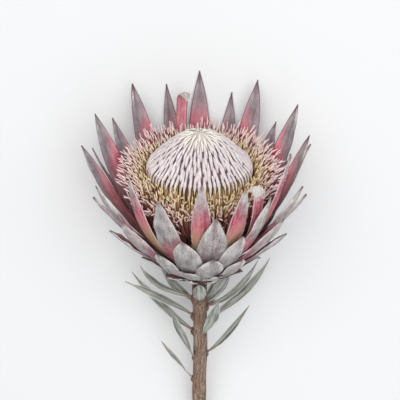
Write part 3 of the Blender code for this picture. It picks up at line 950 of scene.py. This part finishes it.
def young_stalk(index, rng):
    """One of the upright stalks below the dome's rim."""
    azimuth = (index + rng.normal(0, 0.3)) * 360 / YOUNG_STALKS
    reach = rng.normal(0.5, 0.6)
    sway = rng.normal(0, 2.2)
    top = rng.uniform(97.5, 103.5)
    path = ((-1, 28.3, 64), (-0.5, 31.5, 76), (0.2, 33.8, 86), (0.8, 35.4, 94), (1, 35.6, top))
    spine = [polar(azimuth + sway * way, radius + reach, height) for way, radius, height in path]
    held = {"ripe": rng.uniform(-0.3, 0.35), "gold": 0.0, "tone": rng.uniform(0.0, 1.0)}
    radii = np.array((0.5, 0.5, 0.5, 0.45, 0.12)) * rng.uniform(0.7, 1.3)
    seed = 900 + index * 2.3
    return tube(spine, radii, STALK_SIDES, polar(azimuth, 1, 0), 1, seed, **held)


def make_closed_florets(style, floret, core, down):
    """The dome: styles that lean to its top, over the upright stalks below its rim."""
    rng = np.random.default_rng(CLOSED_SEED)
    parts, ends = [], []
    for index in range(SHORT_STYLES + LONG_STYLES):
        long = index >= SHORT_STYLES
        shape = long_style(index - SHORT_STYLES, rng) if long else short_style(index, rng)
        azimuth, spine, radii, angles = shape
        middle = angles[len(angles) // 2]
        facing = dome_point(azimuth, middle, 1.0) - dome_point(azimuth, middle, 0.0)
        held = {"ripe": ease(48, 80, angles), "gold": float(long), "tone": rng.uniform()}
        parts.append(tube(spine, radii, STYLE_SIDES, facing, 0, index * 3.1, 0.10, **held))
        ends.append((spine[-1], spine[-1] - spine[-3]))
    parts += [young_stalk(index, rng) for index in range(YOUNG_STALKS)]
    foot = RECEPTACLE_TOP + GAP
    sweep = np.linspace(0, 89.5, 20)
    turn = np.radians(sweep)
    above = DOME_CENTRE + (DOME_RISE - mix(0.8, -0.3, sweep / 90)) * np.sin(turn) ** DOME_POINT
    dome = np.stack([(DOME_RADIUS - 0.6) * np.cos(turn), above], -1)
    profile = [(0, foot), (16.5, foot), (27.6, 66), (32.3, 86), *dome]
    bed = lathe(profile, TURNED_SIDES, 2, rng, parts[0])
    bed.values["ripe"] = ease(119, 122, bed.points[:, 2])
    bed.values["gold"] = 1 - ease(101, 104, bed.points[:, 2])
    parts.append(bed)
    chosen = (rng.uniform(0, 1, CREST_HAIRS) ** 1.6 * SHORT_STYLES).astype(int)
    tips, ways = np.moveaxis(np.array(ends)[chosen], 1, 0)
    ways = unit(ways) + rng.normal(0, 0.45, (CREST_HAIRS, 3)) + (0, 0, 0.3)
    lengths = rng.uniform(0.5, 1.4, CREST_HAIRS)
    roots = tips + rng.normal(0, 0.25, (CREST_HAIRS, 3))
    parts.append(hairs(roots, ways, lengths, 0.12, 3, rng, parts[0]))
    azimuths = rng.uniform(0, 360, APEX_HAIRS)
    angles = 90 - 16 * rng.uniform(0, 1, APEX_HAIRS) ** 0.6
    roots = dome_point(azimuths, angles, 0.6)
    ways = dome_point(azimuths, angles - 25, 1.5) - roots + rng.normal(0, 2.5, roots.shape)
    lengths = rng.uniform(0.8, 1.8, APEX_HAIRS)
    parts.append(hairs(roots, ways + (0, 0, 4), lengths, 0.16, 3, rng, parts[0]))
    materials = [style, floret, core, down]
    make_piece("dome_of_closed_florets", "closed_florets", parts, materials)


def left_out(azimuth, share, rng):
    """Whether an open floret is left out: an outer one that would reach a curled bract's hook,
    or one of a few elsewhere."""
    thinned = share > 0.5 + 4 * rng.uniform()
    turns = (azimuth - bract[0] for bract in CURLED_BRACTS)
    by_hook = any(abs((turn + 180) % 360 - 180) < HOOK_ROOM for turn in turns)
    return share > 0.75 if by_hook else thinned


def open_floret(azimuth, share, rng):
    """One open floret's spine and radii, and where along it the woolly limb is. Its share is 0 by
    the dome and 1 at the ring's edge."""
    front = math.cos(math.radians(azimuth))
    ahead, behind = max(front, 0), max(-front, 0)
    fallen = share * ahead**2 * rng.uniform()
    sag = FLORET_SAG * share * front + FALLEN_SAG * fallen
    tuck = FLORET_TUCK * share * ahead
    root = polar(azimuth, mix(36.0, 35.0, share), mix(78, 54, share))
    reach = mix(38.4, 55.5, share) - tuck - FALLEN_TUCK * fallen + rng.normal(0, 1.0)
    height = mix(96.0, 94.5, share) - sag + rng.normal(0, 2.0) - 3.0 * share * rng.uniform() ** 2
    turn = azimuth + rng.normal(0, 1.0)
    knee = polar(turn, reach, height)
    lean = polar(turn, mix(39.5, 50.0, share) - tuck, mix(80, 74, share) - 0.6 * sag)
    length = mix(2.8, 5.8, share) * mix(1.0, 0.85, ahead) * rng.uniform(0.75, 1.25)
    splay = mix(66, 20, share) + share * (38 * behind + 30 * ahead)
    splay = math.radians(splay + rng.normal(0, mix(10, 22, ahead)))
    way = polar(turn + rng.normal(0, mix(13, 42, ahead)), math.cos(splay), math.sin(splay))
    stalk = curve_point(root, lean, knee, np.linspace(0, 1, 6)[:, None])
    elbow = knee + (unit(knee - lean) * 0.5 + way * 0.5) * 0.9
    onward = np.linspace(0.12, 1, 5)[:, None]
    droop = onward**2 * (0, 0, rng.normal(0.2, 0.5))
    spine = np.concatenate([stalk, elbow[None], elbow + way * (onward * length) + droop])
    limb = np.array([0.0] * 5 + [0.15, 0.75] + [1.0] * 5)
    swell = np.array([1.0] * 6 + [1.15, 1.3, 1.4, 1.35, 1.2, 0.6])
    return spine, mix(0.30, 0.40, ahead) * swell * rng.uniform(0.85, 1.2), limb


def make_open_florets(floret, shade, down):
    """The ring of open florets, their woolly limbs bent outward, over the mass of their stalks."""
    rng = np.random.default_rng(OPEN_SEED)
    parts, ends = [], []
    for index in range(OPEN_FLORETS):
        share = ((index + 0.5) / OPEN_FLORETS) ** 0.8
        azimuth = index * GOLDEN_ANGLE + rng.normal(0, 1.2)
        if left_out(azimuth, share, rng):
            continue
        spine, radii, limb = open_floret(azimuth, share, rng)
        front = math.cos(math.radians(azimuth))
        reddening = share * mix(1.1, 0.75, ease(0.3, 0.95, front)) + rng.normal(0, 0.14)
        held = {"ripe": reddening, "gold": limb, "tone": rng.uniform()}
        facing = polar(azimuth, 1, 0)
        parts.append(tube(spine, radii, FLORET_SIDES, facing, 0, index * 2.7, 0.1, **held))
        ends.append((spine[-2], spine[-1] - spine[-2]))
    profile = [(17.2, 38.5), (24.5, 38.5), (29.0, 43), (34, 52), (36, 62), (37, 68), (33.4, 72)]
    profile += [(29.1, 66), (17.2, 38.5)]
    parts.append(lathe(profile, RING_SIDES, 1, rng, parts[0], rough=0.5))
    tips, ways = np.repeat(np.moveaxis(np.array(ends), 1, 0), TIP_HAIRS, axis=1)
    ways = unit(ways) + rng.normal(0, 0.5, ways.shape)
    roots = tips + rng.normal(0, 0.25, tips.shape)
    lengths = rng.uniform(0.3, 0.8, len(tips))
    parts.append(hairs(roots, ways, lengths, 0.08, 2, rng, parts[0]))
    make_piece("ring_of_open_florets", "open_florets", parts, [floret, shade, down])


def make_stem(bark, pith):
    """The woody stem, slightly crooked and furrowed, with the knobs that the leaves grow from."""
    rng = np.random.default_rng(STEM_SEED)
    rings, sides = STEM_GRID
    share = np.linspace(0, 1, rings + 1)
    sway = 0.5 * np.sin(math.pi * share) * np.sin(7 * share)
    spine = np.stack([sway, 0 * share, -GAP - (STEM_LENGTH - GAP) * share], -1)
    radii = STEM_RADIUS + 0.15 * np.sin(23 * share)
    part = tube(spine, radii, sides, np.array((0, -1.0, 0)), 0, 5.0, dark=0.0)
    points = part.points.reshape(rings + 1, sides, 3)
    turns = 2 * math.pi * np.arange(sides) / sides
    down = share[:, None]
    furrows = 0.26 * ripple(rng, 6 * np.sin(turns) + 0 * down, down * 4, 7)
    lumps = 0.14 * ripple(rng, np.cos(turns) * 2, down * 26, 5)
    # Painted shade: the stem is darkened towards its top, under the head
    dark = np.zeros((rings + 1, sides)) + 0.6 * (1 - ease(0.0, 0.12, down))
    for _ in range(OLD_SCARS):
        at, height = rng.uniform(0, 2 * math.pi), rng.uniform(0.06, 0.98)
        near = ((turns - at + math.pi) % (2 * math.pi) - math.pi) * STEM_RADIUS / 0.55
        away = (down - height) * STEM_LENGTH / rng.uniform(0.7, 1.6)
        spot = np.exp(-(near**2) - away**2)
        lumps = lumps + 0.22 * spot
        dark = np.maximum(dark, 0.55 * spot)
    outward = unit(points - spine[:, None])
    points += outward * (furrows + lumps)[..., None] * np.clip((1 - down) * 60, 0, 1)[..., None]
    part.values["dark"] = dark.ravel()
    parts = [Part(points.reshape(-1, 3), part.faces[:1], part.values, 0)]
    parts += [knob for leaf in LEAVES for knob in leaf_knob(leaf, rng)]
    reaches = np.linspace(0.01, radii[-1], 9)
    cut = [(reach, -STEM_LENGTH + 0.25 * (1 - reach / radii[-1])) for reach in reaches]
    parts.append(lathe(cut, sides, 1, rng, part, rough=0.05))
    make_piece("woody_stem", "stem", parts, [bark, pith])


def leaf_knob(leaf, rng):
    """The swelling that a leaf grows from, and the bud above it."""
    azimuth, height = leaf[:2]
    knob = ((-2.3, -4.2), (-0.7, -3.4), (0.3, -2.4), (0.6, -1.4), (0.5, -0.6))
    bud = ((-1.2, -1.2), (-0.2, 0.2), (0.2, 1.5), (0.3, 2.5))
    for path, radii, turn, sides, dark in (
        (knob, (2.6, 2.2, 1.6, 1.25, 0.9), 0, 14, 0.35),
        (bud, (0.8, 1.0, 0.8, 0.3), 4, 10, 0.6),
    ):
        spine = [polar(azimuth + turn, STEM_RADIUS + reach, height + rise) for reach, rise in path]
        yield tube(spine, radii, sides, np.array((0, 0, 1.0)), 0, rng.uniform(0, 90), dark=dark)


def make_leaves(leaf, down):
    """The narrow leaves up the stem."""

    def looks(share, side, inside):
        midrib = np.exp(-((side / 0.10) ** 2)) * (1 - 0.5 * share)
        return {"midrib": midrib, "foot": 0.7 * (1 - ease(0.02, 0.16, share))}

    for number, (azimuth, height, bend, tip, width, twist) in enumerate(LEAVES, 1):
        rng = np.random.default_rng(LEAF_SEED + number)
        root = (STEM_RADIUS + LEAF_CLEARANCE, height)
        blade = Blade(azimuth, root, bend, tip, width, 0.45, 0.5, 1.9, 0.35, 0, twist)
        part, face = blade_part(blade, LEAF_THICKNESS, LEAF_GRID, rng, leaf_relief, looks)
        parts = [part, margin_hairs(part, face, LEAF_HAIRS, rng, 1)]
        make_piece(f"stem_leaf_{number:02d}", f"leaf_{number:02d}", parts, [leaf, down])


# ---- The studio


def make_camera():
    """The camera, with the photo's view."""
    rise, turn = math.radians(RISE), math.radians(VIEW_ELEVATION - RISE)
    ahead = (VIEW_ASIDE, VIEW_HEIGHT * math.cos(rise), VIEW_HEIGHT * math.sin(rise))
    back = np.array((0, math.sin(turn), math.cos(turn)))
    data = bpy.data.cameras.new("Camera")
    data.lens = VIEW_LENS
    camera = add_object("Camera", data)
    camera.location = (np.add(HEAD_BASE, ahead) + back * VIEW_DISTANCE) * MM
    camera.rotation_euler = (-turn, 0, 0)
    bpy.context.scene.camera = camera


def make_light(name, place, size, power, tint):
    """A soft square light that faces the flower's head."""
    data = bpy.data.lights.new(name, "AREA")
    data.size, data.energy, data.color = size, power, tint
    light = add_object(name, data)
    light.location = place
    aim = unit(np.subtract(LIT_POINT, place))
    light.rotation_euler = (math.acos(-aim[2]), 0, math.atan2(aim[1], aim[0]) - math.pi / 2)


def make_studio():
    """A plain pale floor under soft light, most of it from beyond the head."""
    ends = (-FLOOR_REACH, FLOOR_REACH)
    corners = [(x, y, -FLOOR_DROP * MM) for x in ends for y in ends]
    mesh = bpy.data.meshes.new("Floor")
    mesh.from_pydata(corners, [], [(0, 2, 3, 1)])
    mesh.materials.append(floor_material())
    floor = add_object("Floor", mesh)
    floor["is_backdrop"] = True
    world = bpy.data.worlds.new("Studio")
    world.use_nodes = True
    sky = world.node_tree.nodes["Background"].inputs
    sky["Color"].default_value = (0.97, 0.98, 1.0, 1)
    sky["Strength"].default_value = 0.40
    bpy.context.scene.world = world
    for light in LIGHTS:
        make_light(*light)
    bpy.context.scene.view_settings.view_transform = "Standard"


def main():
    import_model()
    cad_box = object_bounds()
    make_camera()
    make_studio()
    bract, down, bark = bract_material(), down_material(), bark_material()
    floret = floret_material()
    make_stem(bark, pith_material())
    make_leaves(leaf_material(), down)
    make_receptacle(bract, bark, down)
    make_bracts(bract, down)
    make_open_florets(floret, shade_material(), down)
    make_closed_florets(style_material(), floret, core_material(), down)
    boxes = {"cad": cad_box, "visual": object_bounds()}
    sizes = {name: [list(corner) for corner in box] for name, box in boxes.items()}


main()
